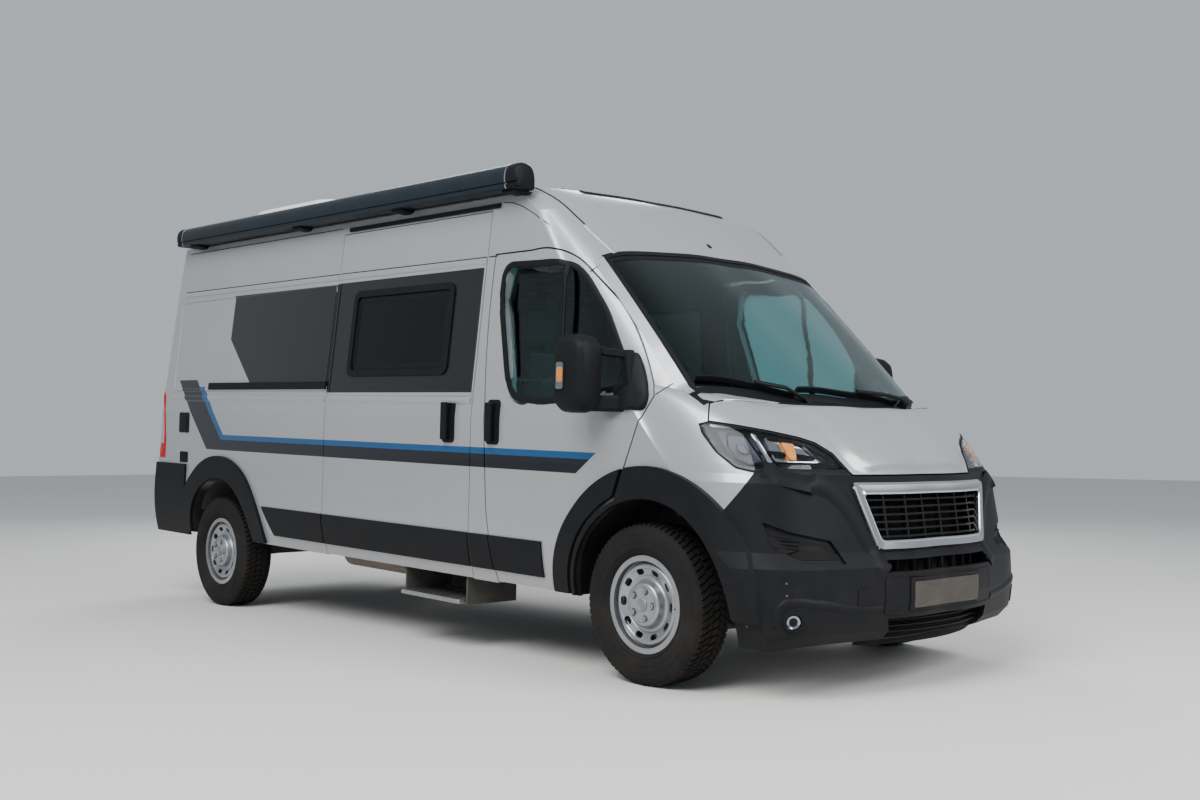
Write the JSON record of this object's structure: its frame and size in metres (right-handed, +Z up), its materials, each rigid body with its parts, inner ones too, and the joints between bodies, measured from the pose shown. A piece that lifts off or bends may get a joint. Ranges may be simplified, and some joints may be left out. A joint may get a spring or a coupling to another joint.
{
  "type": "camper van",
  "caption": "Long high-roofed panel van fitted out as a camper: glazed cab, sliding side door, twin rear doors, awning and living space.",
  "frame": {"origin": "on the ground under the middle of the bounding box", "axes": "+X forward along the van, +Y to its left, +Z up"},
  "size_m": [5.9942, 2.508, 2.7979],
  "materials": {
    "body_paint": "pale silver-grey paint, dusty",
    "black_plastic": "dark grained plastic",
    "cab_glass": "tinted glass",
    "tinted_acrylic": "dark tinted acrylic",
    "red_lens": "red lens with clear bands",
    "clear_lens": "clear lens",
    "lamp_chrome": "lamp reflectors in a dark bezel",
    "chrome_trim": "satin chrome",
    "cast_metal": "cast iron, dusty",
    "chassis_steel": "black chassis paint",
    "cast_alloy": "cast alloy",
    "underbody_paint": "underbody paint",
    "liner_plastic": "black moulded plastic",
    "exhaust_steel": "weathered steel",
    "step_aluminium": "anodised tread",
    "interior_plastic": "dark interior plastic",
    "upholstery": "grey woven cloth",
    "furniture_wood": "light wood laminate",
    "mattress_cover": "light woven cover",
    "awning_case": "anthracite coated aluminium",
    "white_plastic": "white plastic",
    "solar_glass": "dark glass over cells",
    "tyre_rubber": "dusty rubber",
    "wheel_steel": "silver painted steel"
  },
  "bodies": {
    "van_body": {"roof_panel": "body_paint", "side_frame_right": "body_paint", "side_frame_left": "body_paint", "sliding_door": "body_paint", "windscreen": "cab_glass", "front_bumper": "black_plastic", "front_wings": "body_paint", "scuttle_panel": "black_plastic", "arch_flares": "black_plastic", "side_trim": "black_plastic", "side_window_frames": "black_plastic", "side_windows": "tinted_acrylic", "rear_bumper": "black_plastic", "tail_lamps": "red_lens", "headlamp_lenses": "clear_lens", "front_lamps": "lamp_chrome", "grille_surround": "chrome_trim", "grille_bars": "black_plastic", "front_suspension": "chassis_steel", "rear_suspension": "chassis_steel", "engine_block": "cast_alloy", "floor_pan": "underbody_paint", "underfloor_tanks": "liner_plastic", "exhaust": "exhaust_steel", "dashboard": "interior_plastic", "cab_seats": "interior_plastic", "seat_cushions": "upholstery", "kitchen_unit": "furniture_wood", "washroom": "furniture_wood", "bed_base": "furniture_wood", "mattress": "mattress_cover", "roof_lockers": "furniture_wood", "dinette_bench": "furniture_wood", "awning": "awning_case", "roof_unit": "white_plastic", "solar_panel": "solar_glass"},
    "right_front_door": {"front_door_right": "body_paint", "front_door_right_glass": "cab_glass", "front_door_right_trim": "black_plastic"},
    "left_front_door": {"front_door_left": "body_paint", "front_door_left_glass": "cab_glass", "front_door_left_trim": "black_plastic"},
    "right_rear_door": {"rear_door_right": "body_paint", "rear_door_right_window": "cab_glass"},
    "left_rear_door": {"rear_door_left": "body_paint", "rear_door_left_window": "cab_glass"},
    "bonnet_lid": {"bonnet": "body_paint"},
    "sliding_step": {"entrance_step": "step_aluminium"},
    "hand_wheel": {"steering_wheel": "interior_plastic"},
    "right_knuckle": {"knuckle_right": "cast_metal"},
    "left_knuckle": {"knuckle_left": "cast_metal"},
    "right_front_wheel": {"tyre_front_right": "tyre_rubber", "wheel_front_right": "wheel_steel"},
    "left_front_wheel": {"tyre_front_left": "tyre_rubber", "wheel_front_left": "wheel_steel"},
    "right_rear_wheel": {"tyre_rear_right": "tyre_rubber", "wheel_rear_right": "wheel_steel"},
    "left_rear_wheel": {"tyre_rear_left": "tyre_rubber", "wheel_rear_left": "wheel_steel"}
  },
  "joints": [
    {"name": "steer_left", "type": "hinge", "parent": "van_body", "child": "left_knuckle", "pos_m": [2.04293, 0.8, 0.23405], "axis": [0.0265, -0.2014, 0.9791], "range_deg": [-35, 35]},
    {"name": "steer_right", "type": "hinge", "parent": "van_body", "child": "right_knuckle", "pos_m": [2.04293, -0.8, 0.23405], "axis": [0.0265, 0.2014, 0.9791], "range_deg": [-35, 35]},
    {"name": "steering_wheel_turn", "type": "hinge", "parent": "van_body", "child": "hand_wheel", "pos_m": [1.34673, 0.42, 1.16119], "axis": [-0.4764, 0, 0.8792], "range_deg": [-490, 490]},
    {"name": "wheel_spin_front_left", "type": "hinge", "parent": "left_knuckle", "child": "left_front_wheel", "pos_m": [2.0465, 0.905, 0.366], "axis": [0, 1, 0], "continuous": true},
    {"name": "wheel_spin_front_right", "type": "hinge", "parent": "right_knuckle", "child": "right_front_wheel", "pos_m": [2.0465, -0.905, 0.366], "axis": [0, 1, 0], "continuous": true},
    {"name": "wheel_spin_rear_left", "type": "hinge", "parent": "van_body", "child": "left_rear_wheel", "pos_m": [-1.9885, 0.895, 0.366], "axis": [0, 1, 0], "continuous": true},
    {"name": "wheel_spin_rear_right", "type": "hinge", "parent": "van_body", "child": "right_rear_wheel", "pos_m": [-1.9885, -0.895, 0.366], "axis": [0, 1, 0], "continuous": true},
    {"name": "front_door_left_hinge", "type": "hinge", "parent": "van_body", "child": "left_front_door", "pos_m": [2.00297, 1.022, 1.01341], "axis": [-0.027, 0, -0.9996], "range_deg": [0, 70]},
    {"name": "rear_door_left_hinge", "type": "hinge", "parent": "van_body", "child": "left_rear_door", "pos_m": [-2.95211, 0.786, 1.44742], "axis": [-0.027, 0, -0.9996], "range_deg": [0, 180]},
    {"name": "front_door_right_hinge", "type": "hinge", "parent": "van_body", "child": "right_front_door", "pos_m": [2.00297, -1.022, 1.01341], "axis": [0.027, 0, 0.9996], "range_deg": [0, 70]},
    {"name": "rear_door_right_hinge", "type": "hinge", "parent": "van_body", "child": "right_rear_door", "pos_m": [-2.95211, -0.786, 1.44742], "axis": [0.027, 0, 0.9996], "range_deg": [0, 180]},
    {"name": "bonnet_hinge", "type": "hinge", "parent": "van_body", "child": "bonnet_lid", "pos_m": [2.31178, 0, 1.33519], "axis": [0, -1, 0], "range_deg": [0, 55]},
    {"name": "step_slide", "type": "slide", "parent": "van_body", "child": "sliding_step", "axis": [0, -1, 0], "range_m": [0, 0.2]}
  ],
  "couplings": [
    {"joint": "steer_right", "follows": "steer_left", "ratio": 1},
    {"joint": "steering_wheel_turn", "follows": "steer_left", "ratio": 14}
  ]
}
